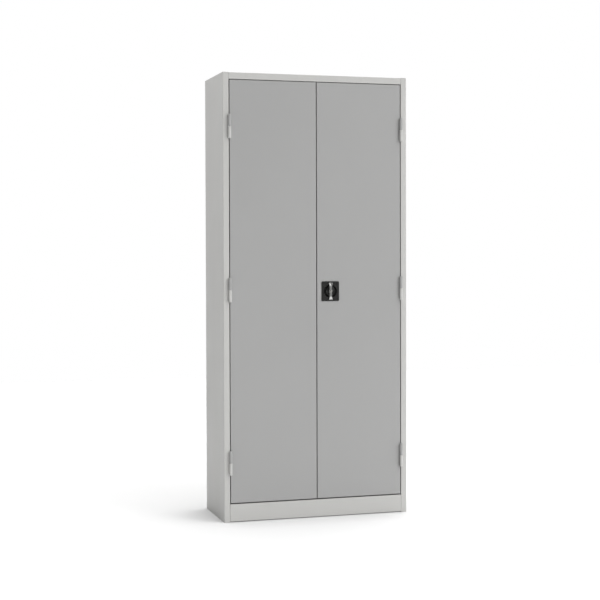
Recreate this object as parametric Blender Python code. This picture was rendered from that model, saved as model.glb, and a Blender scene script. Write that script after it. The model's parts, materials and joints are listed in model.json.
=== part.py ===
"""Tall filing cupboard in folded sheet steel, with two leaves, a flush turn lock and five compartments.

Metres, +Z up, the front towards -Y, the origin on the floor under the middle of the whole part.
"""

import math

import bmesh
import bpy
from mathutils import Matrix, Vector

# Steel carcass, outside
CARCASS_WIDTH = 0.800
CARCASS_HEIGHT = 1.850
CARCASS_DEPTH = 0.330

# Sheet metal and the gap that is left between pieces that touch
SHEET = 0.001
DOOR_SHEET = 0.0009
SHELF_SHEET = 0.0008
BEND_RADIUS = 0.002
BEND_STEPS = 2
SEAT_GAP = 0.0003
OVERRUN = 0.004

# Side panels: stiles in front, flanges behind and below
STILE_WIDTH = 0.025
STOP_LIP = 0.012
BACK_FLANGE = 0.020
BASE_FLANGE = 0.020

# Top panel and its front rail
TOP_RAIL_HEIGHT = 0.028
TOP_DROP = 0.0008
PANEL_FLANGE = 0.015
EAR_CLEARANCE = 0.001

# Plinth
PLINTH_TOP = 0.075
PLINTH_LIFT = 0.003
PLINTH_FOOT = 0.018

# Back panel with two upright ribs pressed outwards
RIB_DEPTH = 0.003
RIB_WIDTH = 0.012
RIB_SPACING = 0.300
BACK_LIFT = 0.003

# Doors, as trays that lie in the front frame
SIDE_GAP = 0.003
CENTRE_GAP = 0.003
TOP_GAP = 0.0025
BOTTOM_GAP = 0.0045
DOOR_THICKNESS = 0.020
DOOR_LIP = 0.022
STOP_GAP = 0.0015
EDGE_RADIUS = 0.0018

# Hat section that stiffens a door
STIFFENER_WIDTH = 0.036
STIFFENER_FLANGE = 0.012
STIFFENER_DEPTH = 0.015

# Lift-off hinges
HINGE_DIAMETER = 0.013
HINGE_LENGTH = 0.100
HINGE_ROUNDING = 0.002
LEAF_DEPTH = 0.016
LEAF_CLEARANCE = 0.0007
LEAF_END_MARGIN = 0.003
PIN_DIAMETER = 0.007
PIN_CLEARANCE = 0.0003
PIN_REACH = 0.030
PIN_POCKET = 0.002
TOP_HINGE_DROP = 0.1905
BOTTOM_HINGE_RISE = 0.1660
MIDDLE_HINGE_RISE = 0.0080

# Lock: black plate with a round bowl
LOCK_EDGE_DISTANCE = 0.0577
LOCK_DROP = 0.0015
PLATE_WIDTH = 0.077
PLATE_HEIGHT = 0.083
PLATE_PROUD = 0.0025
PLATE_CORNER = 0.005
PLATE_BEVEL = 0.001
BOWL_DIAMETER = 0.057
BOWL_DEPTH = 0.013
BOWL_WALL_RUN = 0.009
HOUSING_WALL = 0.0015
HOUSING_FLOOR = 0.003

# Lock: rotor, bar handle and key plug
ROTOR_DIAMETER = 0.035
ROTOR_RECESS = 0.0065
ROTOR_ROUNDING = 0.0015
SPINDLE_DIAMETER = 0.012
SPINDLE_SQUARE = 0.008
BAR_LENGTH = 0.072
BAR_END_WIDTH = 0.018
BAR_WAIST_WIDTH = 0.010
BAR_WAIST_LENGTH = 0.026
BAR_THICKNESS = 0.006
BAR_LIFT = 0.0005
BAR_BEVEL = 0.0012
BAR_HUB_DIAMETER = 0.014
BAR_PEG = 0.006
BAR_PEG_DEPTH = 0.004
PLUG_DIAMETER = 0.009
PLUG_DEPTH = 0.006
KEY_SLOT_LENGTH = 0.005
KEY_SLOT_WIDTH = 0.0012
KEY_SLOT_DEPTH = 0.004

# Lock: cam, case and the two rods
PIN_CIRCLE_RADIUS = 0.012
CAM_PIN_DIAMETER = 0.004
CAM_PIN_PLAY = 0.0006
CAM_RIM = 0.003
CAM_THICKNESS = 0.0025
CAM_ROD_GAP = 0.0005
ROD_WIDTH = 0.014
ROD_THICKNESS = 0.003
ROD_TIP_CHAMFER = 0.003
ROD_END_WEB = 0.005
ROD_CLEARANCE = 0.002
CASE_HEIGHT = 0.052
CASE_FLANGE = 0.008
CASE_CLEARANCE = 0.0012
GUIDE_WIDTH = 0.026
GUIDE_HEIGHT = 0.010
GUIDE_WALL = 0.0025
GUIDE_RISE = 0.002
SWING_CLEARANCE = 0.0012

# Slide bolts that hold the left leaf
BOLT_LENGTH = 0.066
BOLT_HOUSING_HEIGHT = 0.016
BOLT_KNOB_DIAMETER = 0.008
BOLT_KNOB_HEIGHT = 0.007
BOLT_KNOB_INSET = 0.008

# Slotted uprights and the clips that hook into them
UPRIGHT_STANDOFF = 0.010
UPRIGHT_WIDTH = 0.028
UPRIGHT_INSET = 0.045
SLOT_PITCH = 0.050
CLIP_WIDTH = 0.016
CLIP_THICKNESS = 0.0015
CLIP_REACH = 0.014
CLIP_HOOK = 0.005
CLIP_LEG = 0.012

# Shelves
COMPARTMENTS = 5
SHELF_FRONT_INSET = 0.040
SHELF_BACK_CLEARANCE = 0.004
SHELF_SIDE_CLEARANCE = 0.0015
SHELF_LIP = 0.025
SHELF_RETURN = 0.012

# Facets of round shapes
BARREL_SIDES = 20
PIN_SIDES = 12
BOWL_SIDES = 32
BOWL_STEPS = 5
CORNER_STEPS = 3
BAR_STEPS = 4
SMOOTH_ANGLE = math.radians(40)
ROUNDED_FROM = math.radians(60)
WELD_DISTANCE = 0.000001

# Places that follow from the sizes above
hinge_radius = HINGE_DIAMETER / 2
hinge_proud = HINGE_DIAMETER + SEAT_GAP
bar_proud = PLATE_PROUD + BAR_LIFT + BAR_THICKNESS
front_proud = max(hinge_proud, bar_proud)
front = (front_proud - CARCASS_DEPTH) / 2
back = front + CARCASS_DEPTH
half_width = CARCASS_WIDTH / 2
side_inside = half_width - SHEET
stile_edge = half_width - STILE_WIDTH
rebate = front + DOOR_THICKNESS + STOP_GAP
frame_back = rebate + SHEET
top_face = CARCASS_HEIGHT - TOP_DROP
rail_bottom = CARCASS_HEIGHT - TOP_RAIL_HEIGHT
stop_bottom = rail_bottom - STOP_LIP
back_face = back - SHEET - SEAT_GAP - RIB_DEPTH
panel_back = back_face - SHEET - SEAT_GAP
floor_front = frame_back + SEAT_GAP

door_edge = stile_edge - SIDE_GAP
door_free_edge = CENTRE_GAP / 2
door_bottom = PLINTH_TOP + BOTTOM_GAP
door_top = rail_bottom - TOP_GAP
door_middle = (door_bottom + door_top) / 2
door_back = front + DOOR_THICKNESS
hinge_x = stile_edge - SIDE_GAP / 2
hinge_y = front - SEAT_GAP - hinge_radius
leaf_thickness = SIDE_GAP - SEAT_GAP - LEAF_CLEARANCE
hinge_splits = {
    "bottom": door_bottom + BOTTOM_HINGE_RISE,
    "middle": door_middle + MIDDLE_HINGE_RISE,
    "top": door_top - TOP_HINGE_DROP,
}

lock_x = door_free_edge + LOCK_EDGE_DISTANCE
lock_z = door_middle - LOCK_DROP
plate_face = front - PLATE_PROUD
bowl_floor = plate_face + BOWL_DEPTH
housing_back = bowl_floor + HOUSING_FLOOR
housing_radius = BOWL_DIAMETER / 2 + HOUSING_WALL
rotor_face = plate_face + ROTOR_RECESS
bar_back = plate_face - BAR_LIFT
bar_face = bar_back - BAR_THICKNESS
rod_front = floor_front + BEND_RADIUS + SHEET + ROD_CLEARANCE
rod_back = rod_front + ROD_THICKNESS
cam_back = rod_front - CAM_ROD_GAP
cam_front = cam_back - CAM_THICKNESS
pin_offset = PIN_CIRCLE_RADIUS * math.sin(math.pi / 4)
rod_offset = (PIN_CIRCLE_RADIUS + pin_offset) / 2
cam_radius = PIN_CIRCLE_RADIUS + CAM_PIN_DIAMETER / 2 + CAM_RIM
case_half_width = max(cam_radius, rod_offset + ROD_WIDTH / 2) + CASE_CLEARANCE
cam_pin_end = rod_back + CAM_ROD_GAP
case_inside = cam_pin_end + CASE_CLEARANCE
upper_tip = stop_bottom - SWING_CLEARANCE
lower_tip = PLINTH_TOP + SWING_CLEARANCE
lower_guide_bottom = door_bottom + GUIDE_RISE
guide_back = rod_back + SEAT_GAP + GUIDE_WALL

shelf_front = front + SHELF_FRONT_INSET
shelf_back = back_face - SHEET - SHELF_BACK_CLEARANCE
upright_face = side_inside - SEAT_GAP - UPRIGHT_STANDOFF
upright_top = top_face - PANEL_FLANGE - SEAT_GAP
upright_bottom = PLINTH_TOP + SEAT_GAP
upright_centres = {"front": shelf_front + UPRIGHT_INSET, "rear": shelf_back - UPRIGHT_INSET}
shelf_half_width = upright_face - SHELF_SIDE_CLEARANCE
compartment_height = (top_face - PLINTH_TOP) / COMPARTMENTS


# Materials

def paint(name, colour, roughness, metallic=0.0):
    """Return one plain surface finish."""
    material = bpy.data.materials.new(name)
    material.use_nodes = True
    shader = material.node_tree.nodes["Principled BSDF"]
    shader.inputs["Base Color"].default_value = (*colour, 1.0)
    shader.inputs["Roughness"].default_value = roughness
    shader.inputs["Metallic"].default_value = metallic
    material.diffuse_color = (*colour, 1.0)
    return material


LIGHT_GREY = (0.56, 0.56, 0.54)
MID_GREY = (0.40, 0.40, 0.40)
BLACK = (0.015, 0.015, 0.015)
BRIGHT = (0.80, 0.80, 0.80)
ZINC = (0.55, 0.56, 0.57)
NYLON = (0.70, 0.70, 0.66)
FINISHES = {
    "carcass": (LIGHT_GREY, 0.5, 0.0),
    "door": (MID_GREY, 0.5, 0.0),
    "black": (BLACK, 0.35, 0.0),
    "chrome": (BRIGHT, 0.12, 1.0),
    "zinc": (ZINC, 0.4, 1.0),
    "nylon": (NYLON, 0.5, 0.0),
}


# Shape helpers

def along_z(u, v, w):
    """A plan outline that is drawn upwards."""
    return (u, v, w)


def along_x(u, v, w):
    """A side outline that is drawn across the width."""
    return (w, u, v)


def along_y(u, v, w):
    """A front outline that is drawn into the depth."""
    return (u, w, v)


def make_object(name, shape, finish):
    """Close a bmesh into a named object with its own material."""
    bmesh.ops.recalc_face_normals(shape, faces=shape.faces)
    mesh = bpy.data.meshes.new(name)
    shape.to_mesh(mesh)
    shape.free()
    mesh.materials.append(paint(name + "_finish", *FINISHES[finish]))
    mesh.shade_smooth()
    mesh.set_sharp_from_angle(angle=SMOOTH_ANGLE)
    piece = bpy.data.objects.new(name, mesh)
    bpy.context.scene.collection.objects.link(piece)
    return piece


def prism(outline, low, high, direction):
    """Draw a flat outline from low to high along one direction."""
    shape = bmesh.new()
    corners = [shape.verts.new(direction(u, v, low)) for u, v in outline]
    face = shape.faces.new(corners)
    drawn = bmesh.ops.extrude_face_region(shape, geom=[face])
    moved = [item for item in drawn["geom"] if isinstance(item, bmesh.types.BMVert)]
    step = Vector(direction(0, 0, high)) - Vector(direction(0, 0, low))
    bmesh.ops.translate(shape, verts=moved, vec=step)
    return shape


def block(low, high):
    """A box between two corners."""
    outline = [(low[0], low[1]), (high[0], low[1]), (high[0], high[1]), (low[0], high[1])]
    return prism(outline, low[2], high[2], along_z)


def turned(profile, sides, centre, direction="Z"):
    """Turn a profile of (radius, height) about its axis; both ends of it lie on the axis."""
    shape = bmesh.new()
    points = [shape.verts.new((radius, 0, height)) for radius, height in profile]
    edges = [shape.edges.new(pair) for pair in zip(points, points[1:])]
    bmesh.ops.spin(
        shape, geom=points + edges, cent=(0, 0, 0), axis=(0, 0, 1),
        angle=math.tau, steps=sides, use_duplicate=False,
    )
    bmesh.ops.remove_doubles(shape, verts=shape.verts, dist=WELD_DISTANCE)
    if direction == "Y":
        bmesh.ops.rotate(shape, verts=shape.verts, matrix=Matrix.Rotation(-math.pi / 2, 3, "X"))
    bmesh.ops.translate(shape, verts=shape.verts, vec=centre)
    return shape


def folded(path, sheet):
    """Outline of a folded sheet: its skin follows the path, its thickness lies to the right."""
    points = [Vector(point) for point in path]
    skin = [(points[0], (points[1] - points[0]).normalized())]
    for before, corner, after in zip(points, points[1:], points[2:]):
        arriving = (corner - before).normalized()
        leaving = (after - corner).normalized()
        turn = arriving.angle_signed(leaving)
        radius = BEND_RADIUS if turn > 0 else BEND_RADIUS - sheet
        start = corner - arriving * radius * math.tan(abs(turn) / 2)
        hand = 1 if turn > 0 else -1
        centre = start + right_of(arriving) * radius * hand
        for step in range(BEND_STEPS + 1):
            heading = arriving.copy()
            heading.rotate(Matrix.Rotation(-turn * step / BEND_STEPS, 2))
            skin.append((centre - right_of(heading) * radius * hand, heading))
    skin.append((points[-1], (points[-1] - points[-2]).normalized()))
    inner = [point + right_of(heading) * sheet for point, heading in reversed(skin)]
    return [tuple(point) for point, heading in skin] + [tuple(point) for point in inner]


def right_of(heading):
    """The direction to the right of a heading."""
    return Vector((heading.y, -heading.x))


def rounded_rectangle(centre_u, centre_v, width, height, radius):
    """Outline of a rectangle with round corners."""
    outline = []
    for quarter in range(4):
        u_sign = (1, -1, -1, 1)[quarter]
        v_sign = (1, 1, -1, -1)[quarter]
        corner_u = centre_u + u_sign * (width / 2 - radius)
        corner_v = centre_v + v_sign * (height / 2 - radius)
        for step in range(CORNER_STEPS + 1):
            angle = (quarter + step / CORNER_STEPS) * math.pi / 2
            outline.append((corner_u + radius * math.cos(angle), corner_v + radius * math.sin(angle)))
    return outline


def join_shape(target, operation, shape):
    """Cut a shape out of a piece, or add it to the piece."""
    number = len(target.modifiers)
    tool = make_object(f"{target.name}_tool_{number}", shape, "zinc")
    tool.hide_render = True
    tool.display_type = "WIRE"
    change = target.modifiers.new(f"{operation.lower()}_{number}", "BOOLEAN")
    change.operation = operation
    change.object = tool


def cut(target, shape):
    """Take a shape out of a piece."""
    join_shape(target, "DIFFERENCE", shape)


def add(target, shape):
    """Weld a shape to a piece."""
    join_shape(target, "UNION", shape)


def bevel(target, width, segments):
    """Round the sharp edges of a piece."""
    change = target.modifiers.new("rounding", "BEVEL")
    change.width = width
    change.segments = segments
    change.limit_method = "ANGLE"
    change.angle_limit = ROUNDED_FROM


def mirrored(outline, hand):
    """An outline for the right side, or its mirror image for the left side."""
    return [(hand * u, v) for u, v in outline]


def span(low, high, hand):
    """A stretch of x on the right side, or the same stretch on the left side."""
    return (low, high) if hand > 0 else (-high, -low)


# Carcass

def side_panel(side, hand):
    """Outer skin with its stile, stop lip, back flange and the flange that stands on the floor."""
    path = [
        (-stile_edge + STOP_LIP, rebate),
        (-stile_edge, rebate),
        (-stile_edge, front),
        (-half_width, front),
        (-half_width, back),
        (-half_width + BACK_FLANGE, back),
    ]
    outline = mirrored(folded(path, SHEET), -hand)
    piece = make_object(f"side_panel_{side}", prism(outline, 0, CARCASS_HEIGHT, along_z), "carcass")
    foot = span(half_width - BASE_FLANGE, half_width - SHEET / 2, hand)
    add(piece, block((foot[0], front + SHEET / 2, 0), (foot[1], back - SHEET / 2, SHEET)))
    room = span(stile_edge - STOP_LIP - OVERRUN, side_inside - BEND_RADIUS, hand)
    below_top = top_face - SHEET - SEAT_GAP
    cut(piece, block(
        (room[0], front + SHEET + SEAT_GAP, below_top),
        (room[1], frame_back + OVERRUN, CARCASS_HEIGHT + OVERRUN),
    ))
    return piece


def top_panel():
    """Top skin with its front rail and stop lip, and flanges that lie inside the side panels."""
    reach = side_inside - SEAT_GAP
    path = [
        (rebate, stop_bottom),
        (rebate, rail_bottom),
        (front, rail_bottom),
        (front, top_face),
        (panel_back, top_face),
        (panel_back, top_face - PANEL_FLANGE),
    ]
    piece = make_object("top_panel", prism(folded(path, SHEET), -reach, reach, along_x), "carcass")
    under_skin = top_face - SHEET - SEAT_GAP
    for hand in (-1, 1):
        low, high = span(reach - SHEET, reach, hand)
        add(piece, block(
            (low, frame_back + SEAT_GAP, top_face - PANEL_FLANGE),
            (high, panel_back - SHEET / 2, top_face - SHEET / 2),
        ))
        low, high = span(stile_edge - SEAT_GAP, half_width + OVERRUN, hand)
        cut(piece, block(
            (low, front - OVERRUN, stop_bottom - OVERRUN),
            (high, front + SHEET + SEAT_GAP, CARCASS_HEIGHT + OVERRUN),
        ))
        cut(piece, block(
            (low, front - OVERRUN, stop_bottom - OVERRUN),
            (high, frame_back + SEAT_GAP / 2, under_skin),
        ))
        low, high = span(stile_edge - STOP_LIP - SEAT_GAP, half_width + OVERRUN, hand)
        cut(piece, block(
            (low, rebate - SEAT_GAP, stop_bottom - OVERRUN),
            (high, frame_back + SEAT_GAP / 2, under_skin),
        ))
    return piece


def floor_panel():
    """Lowest shelf, folded down all round, with ears in the stiles and a hole for each rod or bolt."""
    reach = side_inside - SEAT_GAP
    path = [
        (floor_front, PLINTH_TOP - PANEL_FLANGE),
        (floor_front, PLINTH_TOP),
        (panel_back, PLINTH_TOP),
        (panel_back, PLINTH_TOP - PANEL_FLANGE),
    ]
    piece = make_object("floor_panel", prism(folded(path, SHEET), -reach, reach, along_x), "carcass")
    for hand in (-1, 1):
        low, high = span(reach - SHEET, reach, hand)
        add(piece, block(
            (low, floor_front + SHEET / 2, PLINTH_TOP - PANEL_FLANGE),
            (high, panel_back - SHEET / 2, PLINTH_TOP - SHEET / 2),
        ))
        low, high = span(stile_edge + SHEET + EAR_CLEARANCE, reach, hand)
        add(piece, block(
            (low, front + SHEET + EAR_CLEARANCE, PLINTH_TOP - SHEET),
            (high, floor_front + PANEL_FLANGE, PLINTH_TOP),
        ))
    for centre in (lock_x + rod_offset, -lock_x):
        reach_x = ROD_WIDTH / 2 + ROD_CLEARANCE
        cut(piece, block(
            (centre - reach_x, rod_front - ROD_CLEARANCE, PLINTH_TOP - SHEET - OVERRUN),
            (centre + reach_x, rod_back + ROD_CLEARANCE, PLINTH_TOP + OVERRUN),
        ))
    return piece


def plinth():
    """Kick plate between the stiles, folded back at its top and its foot."""
    path = [
        (front + PLINTH_FOOT, PLINTH_LIFT),
        (front, PLINTH_LIFT),
        (front, PLINTH_TOP),
        (rebate - SEAT_GAP, PLINTH_TOP),
    ]
    reach = stile_edge - SEAT_GAP
    return make_object("plinth", prism(folded(path, SHEET), -reach, reach, along_x), "carcass")


def back_panel():
    """Back sheet between the side panels, with its two ribs."""
    reach = side_inside - SEAT_GAP
    path = [(-reach, back_face)]
    for middle in (-RIB_SPACING / 2, RIB_SPACING / 2):
        path.append((middle - RIB_WIDTH / 2 - RIB_DEPTH, back_face))
        path.append((middle - RIB_WIDTH / 2, back_face + RIB_DEPTH))
        path.append((middle + RIB_WIDTH / 2, back_face + RIB_DEPTH))
        path.append((middle + RIB_WIDTH / 2 + RIB_DEPTH, back_face))
    path.append((reach, back_face))
    return make_object("back_panel", prism(folded(path, SHEET), BACK_LIFT, top_face, along_z), "carcass")


# Shelves and what carries them

def slot_heights():
    """Seat height of every slot in an upright, up to the last that leaves room for a hook."""
    count = int((upright_top - CLIP_HOOK - PLINTH_TOP) / SLOT_PITCH)
    return [PLINTH_TOP + SLOT_PITCH * (number + 1) for number in range(count)]


def shelf_seats():
    """Seat height of each shelf: the slot nearest to an even division of the height."""
    heights = slot_heights()
    wanted = [PLINTH_TOP + compartment_height * number for number in range(1, COMPARTMENTS)]
    return [min(heights, key=lambda height: abs(height - level)) for level in wanted]


def upright(side, hand, place):
    """Channel on the inside of a side panel, with a row of slots."""
    centre = upright_centres[place]
    half = UPRIGHT_WIDTH / 2
    foot = side_inside - SEAT_GAP
    path = [
        (foot, centre + half),
        (upright_face, centre + half),
        (upright_face, centre - half),
        (foot, centre - half),
    ]
    outline = mirrored(folded(path[::-1], SHEET), hand)
    shape = prism(outline, upright_bottom, upright_top, along_z)
    piece = make_object(f"shelf_upright_{side}_{place}", shape, "carcass")
    low, high = span(upright_face - OVERRUN, upright_face + SHEET + OVERRUN, hand)
    reach = CLIP_WIDTH / 2 + SEAT_GAP
    slots = bmesh.new()
    for seat in slot_heights():
        outline = [
            (centre - reach, seat - CLIP_THICKNESS - SEAT_GAP),
            (centre + reach, seat - CLIP_THICKNESS - SEAT_GAP),
            (centre + reach, seat + SEAT_GAP),
            (centre - reach, seat + SEAT_GAP),
        ]
        slot = prism(outline, low, high, along_x)
        mesh = bpy.data.meshes.new("slot")
        slot.to_mesh(mesh)
        slot.free()
        slots.from_mesh(mesh)
        bpy.data.meshes.remove(mesh)
    cut(piece, slots)
    return piece


def shelf_clip(number, seat, side, hand, place):
    """Clip that hooks through a slot: a tongue under the shelf, a hook behind and a leg in front."""
    tongue_end = upright_face - SEAT_GAP - CLIP_REACH
    leg_face = upright_face - SEAT_GAP
    hook_face = upright_face + SHEET + SEAT_GAP
    under = seat - CLIP_THICKNESS
    outline = [
        (tongue_end, seat),
        (tongue_end, under),
        (leg_face - CLIP_THICKNESS, under),
        (leg_face - CLIP_THICKNESS, seat - CLIP_LEG),
        (leg_face, seat - CLIP_LEG),
        (leg_face, under),
        (hook_face + CLIP_THICKNESS, under),
        (hook_face + CLIP_THICKNESS, seat + CLIP_HOOK),
        (hook_face, seat + CLIP_HOOK),
        (hook_face, seat),
    ]
    centre = upright_centres[place]
    shape = prism(mirrored(outline, hand), centre - CLIP_WIDTH / 2, centre + CLIP_WIDTH / 2, along_y)
    return make_object(f"shelf_clip_{number}_{side}_{place}", shape, "zinc")


def shelf(number, seat):
    """Loose shelf that lies on four clips, folded down in front and behind."""
    top = seat + SEAT_GAP + SHELF_SHEET
    path = [
        (shelf_front + SHELF_RETURN, top - SHELF_LIP),
        (shelf_front, top - SHELF_LIP),
        (shelf_front, top),
        (shelf_back, top),
        (shelf_back, top - SHELF_LIP),
        (shelf_back - SHELF_RETURN, top - SHELF_LIP),
    ]
    shape = prism(folded(path, SHELF_SHEET), -shelf_half_width, shelf_half_width, along_x)
    return make_object(f"shelf_{number}", shape, "carcass")


# Doors

def door(side, hand):
    """Door leaf: a tray with its rim turned in behind."""
    low, high = span(door_free_edge, door_edge, hand)
    piece = make_object(f"door_{side}", block((low, front, door_bottom), (high, door_back, door_top)), "door")
    bevel(piece, EDGE_RADIUS, BEND_STEPS)
    cut(piece, block(
        (low + DOOR_SHEET, front + DOOR_SHEET, door_bottom + DOOR_SHEET),
        (high - DOOR_SHEET, door_back - DOOR_SHEET, door_top - DOOR_SHEET),
    ))
    cut(piece, block(
        (low + DOOR_LIP, door_back - DOOR_SHEET - OVERRUN, door_bottom + DOOR_LIP),
        (high - DOOR_LIP, door_back + OVERRUN, door_top - DOOR_LIP),
    ))
    return piece


def door_stiffener(side, hand):
    """Hat section down the middle of a leaf."""
    middle = hand * (door_free_edge + door_edge) / 2
    skin = front + DOOR_SHEET + SEAT_GAP
    half = STIFFENER_WIDTH / 2
    path = [
        (middle + half + STIFFENER_FLANGE, skin),
        (middle + half, skin),
        (middle + half, skin + STIFFENER_DEPTH),
        (middle - half, skin + STIFFENER_DEPTH),
        (middle - half, skin),
        (middle - half - STIFFENER_FLANGE, skin),
    ]
    low = door_bottom + DOOR_SHEET + SEAT_GAP
    high = door_top - DOOR_SHEET - SEAT_GAP
    shape = prism(folded(path, DOOR_SHEET), low, high, along_z)
    return make_object(f"door_stiffener_{side}", shape, "door")


def hinge_post(side, hand, place):
    """Lower half of a hinge: the barrel on the frame, its leaf, and the pin that stands up from it."""
    split = hinge_splits[place]
    low = split - HINGE_LENGTH / 2
    axis = hand * hinge_x
    profile = [
        (0, low),
        (hinge_radius - HINGE_ROUNDING, low),
        (hinge_radius, low + HINGE_ROUNDING),
        (hinge_radius, split - SEAT_GAP / 2),
        (PIN_DIAMETER / 2, split - SEAT_GAP / 2),
        (PIN_DIAMETER / 2, split + PIN_REACH),
        (0, split + PIN_REACH),
    ]
    shape = turned(profile, BARREL_SIDES, (axis, hinge_y, 0))
    piece = make_object(f"hinge_post_{side}_{place}", shape, "carcass")
    inner, outer = span(stile_edge - SEAT_GAP - leaf_thickness, stile_edge - SEAT_GAP, hand)
    add(piece, block(
        (inner, hinge_y, low + LEAF_END_MARGIN),
        (outer, front + LEAF_DEPTH, split - LEAF_END_MARGIN),
    ))
    return piece


def hinge_barrel(side, hand, place):
    """Upper half of a hinge: the barrel on the door, which drops over the pin."""
    split = hinge_splits[place]
    high = split + HINGE_LENGTH / 2
    bore = PIN_DIAMETER / 2 + PIN_CLEARANCE
    bore_top = split + PIN_REACH + PIN_POCKET
    axis = hand * hinge_x
    profile = [
        (0, bore_top),
        (bore, bore_top),
        (bore, split + SEAT_GAP / 2),
        (hinge_radius, split + SEAT_GAP / 2),
        (hinge_radius, high - HINGE_ROUNDING),
        (hinge_radius - HINGE_ROUNDING, high),
        (0, high),
    ]
    shape = turned(profile, BARREL_SIDES, (axis, hinge_y, 0))
    piece = make_object(f"hinge_barrel_{side}_{place}", shape, "door")
    inner, outer = span(door_edge + SEAT_GAP, door_edge + SEAT_GAP + leaf_thickness, hand)
    add(piece, block(
        (inner, hinge_y + bore + SEAT_GAP, split + LEAF_END_MARGIN),
        (outer, front + LEAF_DEPTH, high - LEAF_END_MARGIN),
    ))
    return piece


# Lock

def bowl_profile():
    """Turned outline of the bowl, from its flat floor up to its rim and out past the plate."""
    rim = BOWL_DIAMETER / 2
    floor = rim - BOWL_WALL_RUN
    points = [(0, BOWL_DEPTH)]
    for step in range(BOWL_STEPS + 1):
        angle = step / BOWL_STEPS * math.pi / 2
        points.append((floor + BOWL_WALL_RUN * math.sin(angle), BOWL_DEPTH * math.cos(angle)))
    return points + [(rim, -OVERRUN), (0, -OVERRUN)]


def lock_plate():
    """Black plate with its bowl, and the round housing that passes through the door."""
    outline = rounded_rectangle(lock_x, lock_z, PLATE_WIDTH, PLATE_HEIGHT, PLATE_CORNER)
    seat = front - SEAT_GAP
    piece = make_object("lock_plate", prism(outline, plate_face, seat, along_y), "black")
    bevel(piece, PLATE_BEVEL, BEND_STEPS)
    start = seat - PLATE_PROUD / 2
    housing = [(0, start), (housing_radius, start), (housing_radius, housing_back), (0, housing_back)]
    add(piece, turned(housing, BOWL_SIDES, (lock_x, 0, lock_z), "Y"))
    cut(piece, turned(bowl_profile(), BOWL_SIDES, (lock_x, plate_face, lock_z), "Y"))
    bore = SPINDLE_DIAMETER / 2 + SEAT_GAP
    hole = [(0, bowl_floor - OVERRUN), (bore, bowl_floor - OVERRUN), (bore, housing_back + OVERRUN),
            (0, housing_back + OVERRUN)]
    cut(piece, turned(hole, BARREL_SIDES, (lock_x, 0, lock_z), "Y"))
    return piece


def square_peg(side, low, high):
    """A square bar on the lock's axis."""
    half = side / 2
    return block((lock_x - half, low, lock_z - half), (lock_x + half, high, lock_z + half))


def lock_rotor():
    """Round black rotor in the bowl, with the spindle that turns the cam."""
    radius = ROTOR_DIAMETER / 2
    seat = bowl_floor - SEAT_GAP
    spindle_end = cam_front - SEAT_GAP
    profile = [
        (0, rotor_face),
        (radius - ROTOR_ROUNDING, rotor_face),
        (radius, rotor_face + ROTOR_ROUNDING),
        (radius, seat),
        (SPINDLE_DIAMETER / 2, seat),
        (SPINDLE_DIAMETER / 2, spindle_end),
        (0, spindle_end),
    ]
    piece = make_object("lock_rotor", turned(profile, BARREL_SIDES, (lock_x, 0, lock_z), "Y"), "black")
    add(piece, square_peg(SPINDLE_SQUARE, spindle_end - OVERRUN, cam_back))
    peg_room = BAR_PEG + 2 * SEAT_GAP
    cut(piece, square_peg(peg_room, rotor_face - OVERRUN, rotor_face + BAR_PEG_DEPTH + SEAT_GAP))
    return piece


def bar_outline():
    """Front outline of the bar: a narrow waist that flares to both ends."""
    half = BAR_LENGTH / 2
    start = BAR_WAIST_LENGTH / 2
    right = []
    for step in range(BAR_STEPS + 1):
        share = step / BAR_STEPS
        flare = (BAR_END_WIDTH - BAR_WAIST_WIDTH) / 2 * share * share
        right.append((BAR_WAIST_WIDTH / 2 + flare, start + (half - start) * share))
    upper = right + [(-u, v) for u, v in reversed(right)]
    lower = [(-u, -v) for u, v in upper]
    return [(lock_x + u, lock_z + v) for u, v in upper + lower]


def lock_handle():
    """Chromed bar across the rotor, with a hub and a square peg behind it."""
    piece = make_object("lock_handle", prism(bar_outline(), bar_face, bar_back, along_y), "chrome")
    bevel(piece, BAR_BEVEL, BEND_STEPS)
    hub_start = bar_face + BAR_BEVEL
    hub_end = rotor_face - SEAT_GAP
    hub = [(0, hub_start), (BAR_HUB_DIAMETER / 2, hub_start), (BAR_HUB_DIAMETER / 2, hub_end), (0, hub_end)]
    add(piece, turned(hub, BARREL_SIDES, (lock_x, 0, lock_z), "Y"))
    add(piece, square_peg(BAR_PEG, hub_end - OVERRUN, rotor_face + BAR_PEG_DEPTH))
    bore = PLUG_DIAMETER / 2 + SEAT_GAP
    hole_end = bar_face + PLUG_DEPTH + SEAT_GAP
    hole = [(0, bar_face - OVERRUN), (bore, bar_face - OVERRUN), (bore, hole_end), (0, hole_end)]
    cut(piece, turned(hole, BARREL_SIDES, (lock_x, 0, lock_z), "Y"))
    return piece


def lock_key_plug():
    """Key plug in the middle of the bar, with its key slot."""
    radius = PLUG_DIAMETER / 2
    profile = [(0, bar_face), (radius, bar_face), (radius, bar_face + PLUG_DEPTH), (0, bar_face + PLUG_DEPTH)]
    piece = make_object("lock_key_plug", turned(profile, BARREL_SIDES, (lock_x, 0, lock_z), "Y"), "chrome")
    half_slot = KEY_SLOT_WIDTH / 2
    half_length = KEY_SLOT_LENGTH / 2
    cut(piece, block(
        (lock_x - half_slot, bar_face - OVERRUN, lock_z - half_length),
        (lock_x + half_slot, bar_face + KEY_SLOT_DEPTH, lock_z + half_length),
    ))
    return piece


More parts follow.
